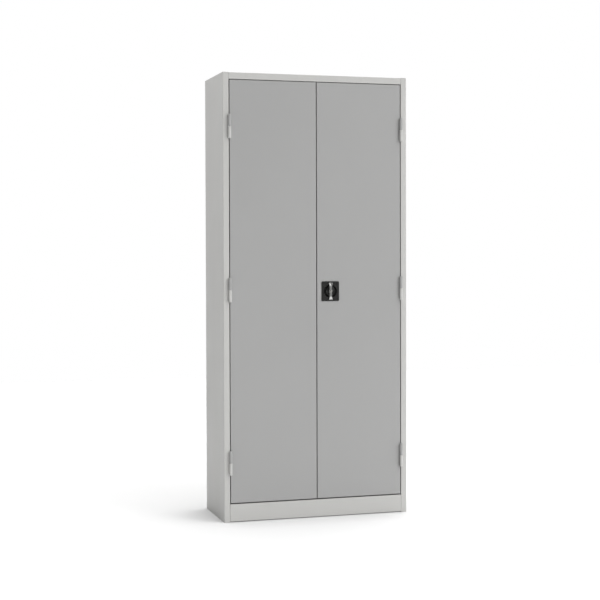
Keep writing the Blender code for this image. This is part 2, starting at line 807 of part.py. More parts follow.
def lock_cam():
    """Disc on the spindle; its two pins drive the rods."""
    profile = [(0, cam_front), (cam_radius, cam_front), (cam_radius, cam_back), (0, cam_back)]
    piece = make_object("lock_cam", turned(profile, BARREL_SIDES, (lock_x, 0, lock_z), "Y"), "zinc")
    room = SPINDLE_SQUARE + 2 * SEAT_GAP
    cut(piece, square_peg(room, cam_front - OVERRUN, cam_back + OVERRUN))
    radius = CAM_PIN_DIAMETER / 2
    start = cam_back - CAM_THICKNESS / 2
    for hand in (-1, 1):
        centre = (lock_x + hand * pin_offset, 0, lock_z + hand * pin_offset)
        pin = [(0, start), (radius, start), (radius, cam_pin_end), (0, cam_pin_end)]
        add(piece, turned(pin, PIN_SIDES, centre, "Y"))
    return piece


def lock_case():
    """Steel cover behind the lock, open at its top and foot for the rods."""
    seat = housing_back + SEAT_GAP
    path = [
        (lock_x + case_half_width + CASE_FLANGE, seat),
        (lock_x + case_half_width, seat),
        (lock_x + case_half_width, case_inside),
        (lock_x - case_half_width, case_inside),
        (lock_x - case_half_width, seat),
        (lock_x - case_half_width - CASE_FLANGE, seat),
    ]
    outline = folded(path, SHEET)
    shape = prism(outline, lock_z - CASE_HEIGHT / 2, lock_z + CASE_HEIGHT / 2, along_z)
    return make_object("lock_case", shape, "zinc")


def bar_with_tip(centre, start, tip):
    """Front outline of a flat rod from its inner end to its chamfered tip."""
    half = ROD_WIDTH / 2
    back_off = ROD_TIP_CHAMFER if tip > start else -ROD_TIP_CHAMFER
    return [
        (centre - half, start),
        (centre + half, start),
        (centre + half, tip - back_off),
        (centre + half - ROD_TIP_CHAMFER, tip),
        (centre - half + ROD_TIP_CHAMFER, tip),
        (centre - half, tip - back_off),
    ]


def lock_rod(name, hand, tip):
    """Flat rod with a cross slot for its cam pin; hand is the side of the lock that it lies on."""
    centre = lock_x + hand * rod_offset
    pin_height = lock_z + hand * pin_offset
    slot_half_height = CAM_PIN_DIAMETER / 2 + CAM_PIN_PLAY
    slot_half_width = (PIN_CIRCLE_RADIUS - pin_offset) / 2 + slot_half_height
    start = pin_height + hand * (slot_half_height + ROD_END_WEB)
    shape = prism(bar_with_tip(centre, start, tip), rod_front, rod_back, along_y)
    piece = make_object(name, shape, "zinc")
    cut(piece, block(
        (centre - slot_half_width, rod_front - OVERRUN, pin_height - slot_half_height),
        (centre + slot_half_width, rod_back + OVERRUN, pin_height + slot_half_height),
    ))
    return piece


def rod_guide(name, centre, low, high):
    """Block on the door's rim that guides a rod or a bolt."""
    shape = block(
        (centre - GUIDE_WIDTH / 2, door_back + SEAT_GAP, low),
        (centre + GUIDE_WIDTH / 2, guide_back, high),
    )
    piece = make_object(name, shape, "nylon")
    reach = ROD_WIDTH / 2 + SEAT_GAP
    cut(piece, block(
        (centre - reach, rod_front - SEAT_GAP, low - OVERRUN),
        (centre + reach, rod_back + SEAT_GAP, high + OVERRUN),
    ))
    return piece


def slide_bolt(name, tip, direction):
    """Flat bolt for the left leaf with a round knob near its inner end."""
    start = tip - direction * BOLT_LENGTH
    shape = prism(bar_with_tip(-lock_x, start, tip), rod_front, rod_back, along_y)
    piece = make_object(name, shape, "zinc")
    radius = BOLT_KNOB_DIAMETER / 2
    knob_start = rod_back - ROD_THICKNESS / 2
    knob_end = rod_back + BOLT_KNOB_HEIGHT
    knob = [(0, knob_start), (radius, knob_start), (radius, knob_end), (0, knob_end)]
    knob_height = start + direction * BOLT_KNOB_INSET
    add(piece, turned(knob, PIN_SIDES, (-lock_x, 0, knob_height), "Y"))
    return piece


# Assembly

def hang(pieces, carrier):
    """Let pieces turn or slide with their carrier, an empty whose location is its place in the world."""
    for piece in pieces:
        piece.parent = carrier
        piece.matrix_parent_inverse = Matrix.Translation(carrier.location).inverted()


def pivot(name, place, carrier=None):
    """An empty on a joint's axis."""
    empty = bpy.data.objects.new(name, None)
    bpy.context.scene.collection.objects.link(empty)
    empty.location = place
    if carrier:
        hang([empty], carrier)
    return empty


def slider(name, centre, tip, piece, carrier):
    """Hang a rod or a bolt on an empty on its own line of travel."""
    hang([piece], pivot(name, (centre, (rod_front + rod_back) / 2, tip), carrier))


def build_carcass():
    """Panels, uprights, clips and shelves."""
    for side, hand in (("left", -1), ("right", 1)):
        side_panel(side, hand)
        for place in upright_centres:
            upright(side, hand, place)
        for number, seat in enumerate(shelf_seats(), start=1):
            for place in upright_centres:
                shelf_clip(number, seat, side, hand, place)
        for place in hinge_splits:
            hinge_post(side, hand, place)
    top_panel()
    floor_panel()
    plinth()
    back_panel()
    for number, seat in enumerate(shelf_seats(), start=1):
        shelf(number, seat)


def build_leaf(side, hand):
    """One door leaf with its stiffener and hinge barrels, on a pivot at the hinge axis."""
    carrier = pivot(f"door_{side}_pivot", (hand * hinge_x, hinge_y, door_bottom))
    leaf = door(side, hand)
    pieces = [leaf, door_stiffener(side, hand)]
    pieces += [hinge_barrel(side, hand, place) for place in hinge_splits]
    hang(pieces, carrier)
    return leaf


def build_lock(leaf):
    """Lock, rods and guides of the right leaf."""
    carrier = leaf.parent
    opening = housing_radius + SEAT_GAP
    inside = front + DOOR_SHEET + OVERRUN
    hole = [(0, front - OVERRUN), (opening, front - OVERRUN), (opening, inside), (0, inside)]
    cut(leaf, turned(hole, BOWL_SIDES, (lock_x, 0, lock_z), "Y"))
    lower_x = lock_x + rod_offset
    upper_x = lock_x - rod_offset
    lower_top = lower_guide_bottom + GUIDE_HEIGHT
    guides = [
        rod_guide("rod_guide_upper", upper_x, upper_tip - GUIDE_HEIGHT, upper_tip),
        rod_guide("rod_guide_lower", lower_x, lower_guide_bottom, lower_top),
    ]
    hang([lock_plate(), lock_case()] + guides, carrier)
    slider("rod_upper_slide", upper_x, upper_tip, lock_rod("lock_rod_upper", -1, upper_tip), carrier)
    slider("rod_lower_slide", lower_x, lower_tip, lock_rod("lock_rod_lower", 1, lower_tip), carrier)
    spindle = pivot("lock_handle_pivot", (lock_x, bar_face, lock_z), carrier)
    hang([lock_handle(), lock_rotor(), lock_cam()], spindle)
    key = pivot("lock_key_pivot", (lock_x, bar_face, lock_z), spindle)
    hang([lock_key_plug()], key)


def build_bolts(leaf):
    """Slide bolts and their housings on the left leaf."""
    carrier = leaf.parent
    lower_top = lower_guide_bottom + BOLT_HOUSING_HEIGHT
    housings = [
        rod_guide("bolt_housing_upper", -lock_x, upper_tip - BOLT_HOUSING_HEIGHT, upper_tip),
        rod_guide("bolt_housing_lower", -lock_x, lower_guide_bottom, lower_top),
    ]
    hang(housings, carrier)
    slider("bolt_upper_slide", -lock_x, upper_tip, slide_bolt("bolt_upper", upper_tip, 1), carrier)
    slider("bolt_lower_slide", -lock_x, lower_tip, slide_bolt("bolt_lower", lower_tip, -1), carrier)


def main():
    """Clear the scene and build the whole cupboard."""
    for item in list(bpy.data.objects):
        bpy.data.objects.remove(item, do_unlink=True)
    build_carcass()
    build_bolts(build_leaf("left", -1))
    build_lock(build_leaf("right", 1))


main()
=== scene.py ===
"""Looks of the tall filing cupboard: powder coat, lock, fastenings, light and camera.

Metres, +Z up, the front towards -Y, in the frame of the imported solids.
"""

import json
import math

import bmesh
import bpy
from mathutils import Matrix, Vector

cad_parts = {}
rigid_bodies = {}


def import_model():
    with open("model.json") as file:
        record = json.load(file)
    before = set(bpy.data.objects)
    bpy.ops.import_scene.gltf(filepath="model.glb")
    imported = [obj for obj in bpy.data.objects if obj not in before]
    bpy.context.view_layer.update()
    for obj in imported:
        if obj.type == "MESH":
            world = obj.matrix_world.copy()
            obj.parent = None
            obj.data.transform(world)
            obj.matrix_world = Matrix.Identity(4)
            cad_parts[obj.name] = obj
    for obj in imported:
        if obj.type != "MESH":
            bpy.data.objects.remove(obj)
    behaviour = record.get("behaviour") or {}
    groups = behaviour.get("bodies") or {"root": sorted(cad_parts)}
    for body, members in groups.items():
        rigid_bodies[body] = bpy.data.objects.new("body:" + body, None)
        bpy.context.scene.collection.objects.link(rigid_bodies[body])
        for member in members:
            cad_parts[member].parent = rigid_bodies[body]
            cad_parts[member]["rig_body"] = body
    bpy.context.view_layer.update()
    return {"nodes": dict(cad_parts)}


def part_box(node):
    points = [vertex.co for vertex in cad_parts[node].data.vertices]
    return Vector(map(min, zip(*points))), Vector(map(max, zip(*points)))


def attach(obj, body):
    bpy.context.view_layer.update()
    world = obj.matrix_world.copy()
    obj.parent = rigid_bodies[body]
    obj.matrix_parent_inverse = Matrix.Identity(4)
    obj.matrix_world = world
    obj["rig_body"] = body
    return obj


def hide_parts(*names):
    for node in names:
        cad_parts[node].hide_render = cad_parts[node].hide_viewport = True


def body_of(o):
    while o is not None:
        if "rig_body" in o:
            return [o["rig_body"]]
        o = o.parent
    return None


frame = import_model()
nodes = frame["nodes"]

# Modelling
TINY = 0.000005   # doubles closer than this are merged
NEAR = 0.0001     # how near a point is to count as being at a place
PROUD = 0.004     # how far a cutting or joining tool overlaps its piece
SEED_SIZE = 0.01  # plane that is merged into a profile's first point
ALONG = 0.9       # how well an edge lines up with an axis to count as running along it
FACING = 0.99     # the same for the way that a face looks
SMOOTH_ANGLE = math.radians(35)

# Facets of turned pieces
FINE = 96
MEDIUM = 48
COARSE = 20

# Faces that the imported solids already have
LEAF_BACK = -0.13835
LEAF_EDGE = 0.372
LEAF_TOP = 1.8195
STOP_FACE = -0.13685

# Lock: plate, bowl and housing
LOCK_X = 0.0592
LOCK_Z = 0.948
LOCK_AXIS = (LOCK_X, LOCK_Z)
PLATE_WIDTH = 0.077
PLATE_HEIGHT = 0.083
PLATE_FACE = -0.16085
PLATE_BACK = -0.15865
PLATE_CORNER = 0.0055
PLATE_CORNER_STEPS = 6
PLATE_EDGE = 0.0009
PLATE_EDGE_STEPS = 3
PLATE_RIM = 0.0024
PLATE_SINK = 0.0004
BOWL_RADIUS = 0.0285
BOWL_WALL = 0.009
BOWL_FLOOR = -0.14785
BOWL_STEPS = 12
BEAD_WIDTH = 0.0018
BEAD_ANGLES = (30, 60, 90, 120, 145)
BEAD_SKIRT = 0.0003
BEAD_BED = 0.0006
HOUSING_RADIUS = 0.030
HOUSING_LAP = 0.0004
HOUSING_FRONT = 0.0007
HOUSING_BACK = -0.14485
BORE_RADIUS = 0.0063

# Lock: rotor and spindle; rows are radius and depth behind the rotor's face
ROTOR_RADIUS = 0.0175
ROTOR_FACE = -0.15435
ROTOR_BACK = -0.14815
ROTOR_ROWS = (
    (0.0, 0.0), (0.0082, 0.0), (0.0090, 0.0003), (0.0098, 0.0011),
    (0.0130, 0.0011), (0.0142, 0.0007), (0.0150, 0.0001),
)
ROTOR_ROUND = 0.002
ROTOR_ROUND_STEPS = 6
SPINDLE_RADIUS = 0.006
SPINDLE_END = -0.13385
SPINDLE_SQUARE = 0.008
CAM_BACK = -0.13105

# Lock: bar and key plug; rims are inset from the radius and depth behind the face
BAR_FACE = -0.16735
BAR_BACK = -0.16135
BAR_LENGTH = 0.072
BAR_END = 0.018
BAR_WAIST = 0.010
BAR_WAIST_LENGTH = 0.026
BAR_FLARE = 1.7  # power of the curve that widens the bar from its waist to its ends
BAR_FLARE_STEPS = 8
BAR_CORNER = 0.0026
BAR_CORNER_STEPS = 5
BAR_EDGE = 0.0011
BAR_EDGE_STEPS = 4
SCOOP_SIZE = (0.0068, 0.0035, 0.0145)
SCOOP_STAND = 0.0004
SCOOP_SEGMENTS = 64
SCOOP_RINGS = 32
HUB_RADIUS = 0.007
HUB_RIM = ((0.0012, 0.0004), (0.0004, 0.0008), (0.0, 0.0018))
HUB_BACK = -0.15465
PEG_SIDE = 0.006
PEG_BACK = -0.15035
PLUG_RADIUS = 0.0045
PLUG_RIM = ((0.0012, 0.0), (0.0009, 0.0002), (0.0003, 0.0002), (0.0, 0.0005))
PLUG_DEPTH = 0.006
PLUG_GAP = 0.0003
KEY_SLOT = (0.0012, 0.004, 0.0052)
KEY_SLOT_CORNER = 0.0003
KEY_SLOT_CORNER_STEPS = 3

# Screws of the lock's case; the dome's points are shares of the head's radius and height
SCREW_HEAD = (0.0030, 0.0021)
SCREW_DOME_SHARES = (
    (0.0, 1.0), (0.45, 0.97), (0.75, 0.84), (0.93, 0.60), (1.0, 0.30), (1.0, 0.0),
)
SCREW_SHANK = (0.0015, 0.0050)
SCREW_CROSS = (0.0007, 0.0034, 0.0012)
SCREW_RISE = 0.014
CASE_FLANGE = 0.008
CASE_SHEET = 0.001

# Blind rivets; rows are radius and depth below the top of the head
RIVET_HEAD = (0.0024, 0.0012)
RIVET_ROWS = ((0.0, 0.0004), (0.0006, 0.0004), (0.0008, 0.0), (0.0013, 0.0001), (0.0019, 0.0004))
RIVET_RIM = 0.0003
RIVET_SHANK = 0.0016
RIVET_SPREAD = 0.010
LEAF_LIP = 0.0009

# Rubber buffers; rows are radius and depth behind the buffer's face
BUFFER_SIZE = (0.0040, 0.0012)
BUFFER_ROWS = ((0.0, 0.0002), (0.0018, 0.0002), (0.0024, 0.0), (0.0033, 0.0), (0.0038, 0.0002))
BUFFER_RIM = 0.0005
BUFFER_BED = 0.0002
BUFFER_IN = 0.0045
BUFFER_PLACES = (0.30, 0.95, 1.60)
TOP_STOP_MIDDLE = 0.0047
TOP_BUFFER_X = 0.250

# Spot welds; the dome's points are shares of the weld's radius and height
WELD_SIZE = (0.0026, 0.00022)
WELD_DOME_SHARES = (
    (0.0, 0.4), (0.45, 0.5), (0.7, 1.0), (0.88, 0.8), (1.0, 0.0), (1.0, -1.0), (0.0, -1.0),
)
WELD_SHEET = 0.0009
WELD_FLANGE = 0.012
WELD_STEP = 0.22
WELD_FIRST = 0.10

# Colours, as linear red, green and blue
CARCASS_GREY = (0.572, 0.570, 0.554)
LEAF_GREY = (0.400, 0.400, 0.397)
MOULDING_DEEP = (0.011, 0.011, 0.011)
MOULDING_PALE = (0.015, 0.015, 0.0145)
MOULDING_RUBBED = (0.035, 0.035, 0.034)
CHROME_GREY = (0.60, 0.60, 0.59)
NICKEL_GREY = (0.34, 0.33, 0.31)
ZINC_DEEP = (0.52, 0.53, 0.54)
ZINC_PALE = (0.62, 0.63, 0.64)
ZINC_DULLED = (0.46, 0.46, 0.45)
NYLON_DEEP = (0.66, 0.66, 0.61)
NYLON_PALE = (0.74, 0.74, 0.70)
RUBBER_DEEP = (0.018, 0.018, 0.018)
RUBBER_PALE = (0.035, 0.035, 0.034)
PAPER_DEEP = (0.93, 0.93, 0.93)
PAPER_PALE = (0.95, 0.95, 0.95)
PAPER_SHADED = (0.79, 0.79, 0.79)
WHITE = (1.0, 1.0, 1.0)
PAINT_ROUGHNESS = 0.46

# Studio; the camera's angles are degrees, its lens and sensor millimetres
FLOOR_SIZE = 12.0
FLOOR_GLOW = 0.08
HORIZON_LIGHT = 0.61
ZENITH_LIGHT = 2.02
LEFT_SHARE = 0.04
FRONT_REFLECTION = 0.30
SOFT_BOXES = (  # name, place, point that it looks at, size, watts
    ("key_light", (6.6, -7.5, 4.4), (0.0, 0.0, 1.2), 5.4, 180.0),
    ("top_light", (1.9, -2.2, 3.3), (0.3, -0.15, 1.75), 1.2, 8.0),
    ("side_light", (-1.5, 0.35, 3.0), (-0.4, 0.0, 1.5), 1.0, 10.0),
)
CAMERA_PLACE = (-1.6838, -5.5689, 1.1344)
CAMERA_HEADING = -16.581
CAMERA_TILT = 88.767
CAMERA_ROLL = -0.156
CAMERA_LENS = 81.37
CAMERA_SENSOR = 36.0
CAMERA_SHIFT = -0.04


# Nodes of the finishes

def shared_effect(name, inputs, outputs):
    """A group of shader nodes with named sockets, to be placed in several finishes."""
    tree = bpy.data.node_groups.new(name, "ShaderNodeTree")
    for label, value in inputs:
        socket = tree.interface.new_socket(
            name=label, in_out="INPUT", socket_type="NodeSocketFloat"
        )
        socket.default_value = value
    for label, kind in outputs:
        tree.interface.new_socket(name=label, in_out="OUTPUT", socket_type=kind)
    return tree, tree.nodes.new("NodeGroupInput").outputs, tree.nodes.new("NodeGroupOutput").inputs


def feed(tree, socket, value):
    """Give a socket either another node's output or a plain value."""
    if isinstance(value, bpy.types.NodeSocket):
        tree.links.new(value, socket)
    else:
        socket.default_value = value


def put(tree, kind, settings=None, numbered=None, **named):
    """Add a node; its sockets are given by number, or by name with _ for each space."""
    node = tree.nodes.new(kind)
    for setting, value in (settings or {}).items():
        setattr(node, setting, value)
    for number, value in (numbered or {}).items():
        feed(tree, node.inputs[number], value)
    for label, value in named.items():
        feed(tree, node.inputs[label.replace("_", " ")], value)
    return node


def maths(tree, operation, first, second, clamp=False):
    """One sum on two numbers."""
    settings = {"operation": operation, "use_clamp": clamp}
    return put(tree, "ShaderNodeMath", settings, {0: first, 1: second}).outputs[0]


def portion(tree, value, share):
    """A share of a number."""
    return maths(tree, "MULTIPLY", value, share)


def mixed(tree, share, first, second):
    """Two numbers in a share from nought to one."""
    settings = {"data_type": "FLOAT"}
    return put(tree, "ShaderNodeMix", settings, {0: share, 2: first, 3: second}).outputs[0]


def blend_colours(tree, share, first, second):
    """Two colours in a share from nought to one."""
    settings = {"data_type": "RGBA"}
    return put(tree, "ShaderNodeMix", settings, {0: share, 6: first, 7: second}).outputs[2]


def ramp(tree, value, low=0.0, high=1.0, start=0.0, end=1.0):
    """Stretch a range of numbers over another, without going past its ends."""
    numbered = {0: value, 1: low, 2: high, 3: start, 4: end}
    return put(tree, "ShaderNodeMapRange", {"clamp": True}, numbered).outputs[0]


def own_place(tree):
    """Place on the piece, as the patterns read it."""
    return put(tree, "ShaderNodeTexCoord").outputs["Object"]


def noise(tree, place, **sockets):
    """Soft random pattern."""
    return put(tree, "ShaderNodeTexNoise", Vector=place, **sockets).outputs["Fac"]


def make_grain():
    """Fine orange peel of a baked powder coat, and its slow drift in tone."""
    tree, given, result = shared_effect(
        "powder grain",
        [("Peel scale", 260.0), ("Speck scale", 900.0)],
        [("Height", "NodeSocketFloat"), ("Tone", "NodeSocketFloat")],
    )
    place = own_place(tree)
    peel = noise(tree, place, Scale=given["Peel scale"], Detail=1.0)
    speck = noise(tree, place, Scale=given["Speck scale"], Detail=2.0)
    drift = noise(tree, place, Scale=1.7, Detail=2.0, Roughness=0.4)
    height = maths(tree, "ADD", portion(tree, peel, share=0.7), portion(tree, speck, share=0.3))
    tone = maths(tree, "ADD", portion(tree, speck, share=0.35), portion(tree, drift, share=0.65))
    feed(tree, result["Height"], height)
    feed(tree, result["Tone"], tone)
    return tree


def make_handling():
    """Faint wiped patches, longer than they are wide."""
    tree, given, result = shared_effect(
        "handling marks", [("Patch scale", 5.0)], [("Mask", "NodeSocketFloat")]
    )
    drawn = put(tree, "ShaderNodeMapping", Vector=own_place(tree), Scale=(1.0, 1.0, 0.35))
    patch = noise(
        tree, drawn.outputs[0], Scale=given["Patch scale"],
        Detail=5.0, Roughness=0.65, Distortion=0.6,
    )
    feed(tree, result["Mask"], ramp(tree, patch, low=0.42, high=0.68))
    return tree


def make_edges():
    """Softened edge normal, and a mask of the edges where a coat runs thin."""
    tree, given, result = shared_effect(
        "softened edges",
        [("Radius", 0.0004)],
        [("Mask", "NodeSocketFloat"), ("Normal", "NodeSocketVector")],
    )
    softened = put(tree, "ShaderNodeBevel", {"samples": 6}, Radius=given["Radius"]).outputs[0]
    flat = put(tree, "ShaderNodeNewGeometry").outputs["Normal"]
    settings = {"operation": "DOT_PRODUCT"}
    likeness = put(tree, "ShaderNodeVectorMath", settings, {0: softened, 1: flat})
    feed(tree, result["Mask"], ramp(tree, likeness.outputs["Value"], low=0.995, high=0.80))
    feed(tree, result["Normal"], softened)
    return tree


def make_seam_shade():
    """Mask of narrow gaps and inner corners, from ambient occlusion, for painted shade."""
    tree, given, result = shared_effect(
        "painted seam shade",
        [("Reach", 0.009), ("Starts", 0.48), ("Full", 0.14)],
        [("Mask", "NodeSocketFloat")],
    )
    settings = {"samples": 8}
    openness = put(tree, "ShaderNodeAmbientOcclusion", settings, Distance=given["Reach"])
    mask = ramp(tree, openness.outputs["AO"], low=given["Starts"], high=given["Full"])
    feed(tree, result["Mask"], mask)
    return tree


def make_plating():
    """Hairline haze and the slight ripple of a plated casting."""
    tree, given, result = shared_effect(
        "plating haze",
        [("Hair scale", 2600.0), ("Ripple scale", 180.0)],
        [("Haze", "NodeSocketFloat"), ("Ripple", "NodeSocketFloat")],
    )
    place = own_place(tree)
    drawn = put(
        tree, "ShaderNodeMapping", Vector=place,
        Scale=(1.0, 1.0, 0.08), Rotation=(0.0, 0.5, 0.0),
    )
    hair = noise(tree, drawn.outputs[0], Scale=given["Hair scale"], Detail=3.0)
    ripple = noise(tree, place, Scale=given["Ripple scale"], Detail=1.0)
    feed(tree, result["Haze"], ramp(tree, hair, low=0.45, high=0.75))
    feed(tree, result["Ripple"], ripple)
    return tree


GRAIN = make_grain()
HANDLING = make_handling()
EDGES = make_edges()
SEAM_SHADE = make_seam_shade()
PLATING = make_plating()


# Finishes

def new_finish(name):
    """An empty finish with its shader, ready for more nodes."""
    finish = bpy.data.materials.new(name)
    finish.use_nodes = True
    tree = finish.node_tree
    return finish, tree, tree.nodes["Principled BSDF"].inputs


def effect(tree, group, **sockets):
    """Place one of the shared effects."""
    return put(tree, "ShaderNodeGroup", {"node_tree": group}, **sockets).outputs


def shade(colour, share=1.0):
    """The same colour, lighter or darker."""
    return tuple(channel * share for channel in colour) + (1.0,)


def relief(tree, shader, **sockets):
    """Fine unevenness of the surface."""
    feed(tree, shader["Normal"], put(tree, "ShaderNodeBump", **sockets).outputs[0])


def powder_coat(name, colour, drift):
    """Baked powder coat over folded steel, with painted shade in its seams and gaps, and worn on
    its edges.
    """
    finish, tree, shader = new_finish(name)
    grain = effect(tree, GRAIN)
    marks = effect(tree, HANDLING)
    edges = effect(tree, EDGES, Radius=0.0005)
    seams = effect(tree, SEAM_SHADE)
    tone = ramp(tree, grain["Tone"], low=0.32, high=0.68)
    clean = blend_colours(tree, tone, shade(colour, 1.0 - drift), shade(colour, 1.0 + drift))
    # Painted shade: the coat darkens towards a quarter of its colour in narrow gaps and inner
    # corners
    shade_amount = portion(tree, seams["Mask"], share=0.8)
    seam_shaded = blend_colours(tree, shade_amount, clean, shade(colour, share=0.25))
    wear = portion(tree, edges["Mask"], share=0.5)
    worn = blend_colours(tree, wear, seam_shaded, shade(colour, share=1.18))
    wiped = portion(tree, marks["Mask"], share=-0.07)
    feed(tree, shader["Base Color"], worn)
    feed(tree, shader["Roughness"], maths(tree, "ADD", wiped, PAINT_ROUGHNESS))
    feed(tree, shader["Specular IOR Level"], 0.35)
    relief(
        tree, shader, Strength=0.10, Distance=0.0003,
        Height=grain["Height"], Normal=edges["Normal"],
    )
    return finish


def moulded_black():
    """Glossy black moulding with a faint flow texture and rubbed edges."""
    finish, tree, shader = new_finish("lock_black_moulding")
    grain = effect(tree, GRAIN, Peel_scale=420.0, Speck_scale=1600.0)
    marks = effect(tree, HANDLING, Patch_scale=60.0)
    edges = effect(tree, EDGES, Radius=0.0003)
    body = blend_colours(tree, grain["Tone"], shade(MOULDING_DEEP), shade(MOULDING_PALE))
    wear = portion(tree, edges["Mask"], share=0.6)
    feed(tree, shader["Base Color"], blend_colours(tree, wear, body, shade(MOULDING_RUBBED)))
    feed(tree, shader["Roughness"], ramp(tree, marks["Mask"], start=0.30, end=0.22))
    feed(tree, shader["Specular IOR Level"], 0.5)
    relief(
        tree, shader, Strength=0.08, Distance=0.0002,
        Height=grain["Height"], Normal=edges["Normal"],
    )
    return finish


def plated_casting(name, colour, polished, scuffed):
    """Bright plating on a casting, with hairline scuffs and a slight ripple."""
    finish, tree, shader = new_finish(name)
    plating = effect(tree, PLATING)
    marks = effect(tree, HANDLING, Patch_scale=70.0)
    edges = effect(tree, EDGES, Radius=0.0004)
    hazed = maths(tree, "MULTIPLY", plating["Haze"], marks["Mask"])
    body = blend_colours(tree, hazed, shade(colour), shade(colour, share=0.88))
    feed(tree, shader["Base Color"], body)
    feed(tree, shader["Roughness"], ramp(tree, hazed, start=polished, end=scuffed))
    feed(tree, shader["Metallic"], 1.0)
    relief(
        tree, shader, Strength=0.12, Distance=0.0002,
        Height=plating["Ripple"], Normal=edges["Normal"],
    )
    return finish


def zinc_plated():
    """Bright zinc with its faint spangle and rolling lines."""
    finish, tree, shader = new_finish("zinc_plating")
    place = own_place(tree)
    spangle = put(tree, "ShaderNodeTexVoronoi", {"feature": "F1"}, Vector=place, Scale=170.0)
    rolled = put(tree, "ShaderNodeMapping", Vector=place, Scale=(1.0, 1.0, 0.05)).outputs[0]
    lines = noise(tree, rolled, Scale=1500.0, Detail=2.0)
    marks = effect(tree, HANDLING, Patch_scale=30.0)
    edges = effect(tree, EDGES, Radius=0.0003)
    fleck = put(tree, "ShaderNodeSeparateColor", Color=spangle.outputs["Color"]).outputs[0]
    body = blend_colours(tree, fleck, shade(ZINC_DEEP), shade(ZINC_PALE))
    dull = portion(tree, marks["Mask"], share=0.35)
    feed(tree, shader["Base Color"], blend_colours(tree, dull, body, shade(ZINC_DULLED)))
    sheen = ramp(tree, fleck, start=0.30, end=0.40)
    rough = maths(tree, "ADD", sheen, portion(tree, marks["Mask"], share=0.10))
    feed(tree, shader["Roughness"], rough)
    feed(tree, shader["Metallic"], 1.0)
    relief(tree, shader, Strength=0.10, Distance=0.0002, Height=lines, Normal=edges["Normal"])
    return finish


def natural_nylon():
    """Off-white nylon with a soft moulded skin."""
    finish, tree, shader = new_finish("natural_nylon")
    grain = effect(tree, GRAIN, Peel_scale=500.0, Speck_scale=2000.0)
    edges = effect(tree, EDGES, Radius=0.0004)
    body = blend_colours(tree, grain["Tone"], shade(NYLON_DEEP), shade(NYLON_PALE))
    rough = ramp(tree, grain["Height"], low=0.3, high=0.7, start=0.42, end=0.55)
    feed(tree, shader["Base Color"], body)
    feed(tree, shader["Roughness"], rough)
    relief(
        tree, shader, Strength=0.15, Distance=0.0002,
        Height=grain["Height"], Normal=edges["Normal"],
    )
    return finish


def buffer_rubber():
    """Dark grey rubber with a dry, powdery skin."""
    finish, tree, shader = new_finish("buffer_rubber")
    grain = effect(tree, GRAIN, Peel_scale=900.0, Speck_scale=2600.0)
    body = blend_colours(tree, grain["Tone"], shade(RUBBER_DEEP), shade(RUBBER_PALE))
    rough = ramp(tree, grain["Height"], low=0.3, high=0.7, start=0.65, end=0.85)
    feed(tree, shader["Base Color"], body)
    feed(tree, shader["Roughness"], rough)
    relief(tree, shader, Strength=0.25, Distance=0.0003, Height=grain["Height"])
    return finish


CARCASS_PAINT = powder_coat("light_grey_powder_coat", CARCASS_GREY, drift=0.012)
LEAF_PAINT = powder_coat("mid_grey_powder_coat", LEAF_GREY, drift=0.014)
BLACK = moulded_black()
CHROME = plated_casting("bright_chrome", CHROME_GREY, polished=0.14, scuffed=0.26)
NICKEL = plated_casting("key_plug_nickel", NICKEL_GREY, polished=0.20, scuffed=0.34)
ZINC = zinc_plated()
NYLON = natural_nylon()
RUBBER = buffer_rubber()


# Modelling by hand

def start_clean():
    """Leave edit mode and let go of everything."""
    if bpy.context.object and bpy.context.object.mode != "OBJECT":
        bpy.ops.object.mode_set(mode="OBJECT")
    bpy.ops.object.select_all(action="DESELECT")


def select_only(piece):
    """Make one piece the one being worked on."""
    start_clean()
    piece.select_set(True)
    bpy.context.view_layer.objects.active = piece


def settle(name):
    """Name the new primitive and bring its place into its mesh."""
    piece = bpy.context.object
    piece.name = name
    piece.data.name = name
    bpy.ops.object.transform_apply(location=True, rotation=True, scale=True)
    return piece


def new_block(name, low, high):
    """A block between two corners."""
    start_clean()
    centre = [(a + b) / 2 for a, b in zip(low, high)]
    size = [b - a for a, b in zip(low, high)]
    bpy.ops.mesh.primitive_cube_add(size=1.0, location=centre)
    bpy.context.object.scale = size
    return settle(name)


def lock_block(name, half_width, half_height, front, back):
    """A block in the middle of the lock."""
    low = (LOCK_X - half_width, front, LOCK_Z - half_height)
    high = (LOCK_X + half_width, back, LOCK_Z + half_height)
    return new_block(name, low, high)


def pick(piece, kind, test):
    """In edit mode, select the faces, edges or points that pass a test on middle and direction."""
    if piece.mode != "EDIT":
        select_only(piece)
        bpy.ops.object.mode_set(mode="EDIT")
    bpy.ops.mesh.select_mode(type=kind)
    bpy.ops.mesh.select_all(action="DESELECT")
    shape = bmesh.from_edit_mesh(piece.data)
    if kind == "FACE":
        for face in shape.faces:
            face.select_set(bool(test(face.calc_center_median(), face.normal)))
    elif kind == "EDGE":
        for edge in shape.edges:
            first, last = (point.co for point in edge.verts)
            edge.select_set(bool(test((first + last) / 2, (last - first).normalized())))
    else:
        for point in shape.verts:
            point.select_set(bool(test(point.co, point.normal)))
    bmesh.update_edit_mesh(piece.data)


def front_to_back(middle, way):
    """Edges that run from the front to the back."""
    return abs(way.y) > ALONG


def facing_front(middle, normal):
    """Faces that look straight to the front."""
    return normal.y < -FACING


def smooth(piece):
    """Shade the rounded faces smooth and keep the sharp edges."""
    select_only(piece)
    bpy.ops.object.shade_smooth_by_angle(angle=SMOOTH_ANGLE)


def finish_shape(piece):
    """Merge doubles, turn the faces outwards and shade the rounded ones smooth."""
    if piece.mode != "EDIT":
        select_only(piece)
        bpy.ops.object.mode_set(mode="EDIT")
    bpy.ops.mesh.select_all(action="SELECT")
    bpy.ops.mesh.remove_doubles(threshold=TINY)
    bpy.ops.mesh.normals_make_consistent(inside=False)
    smooth(piece)


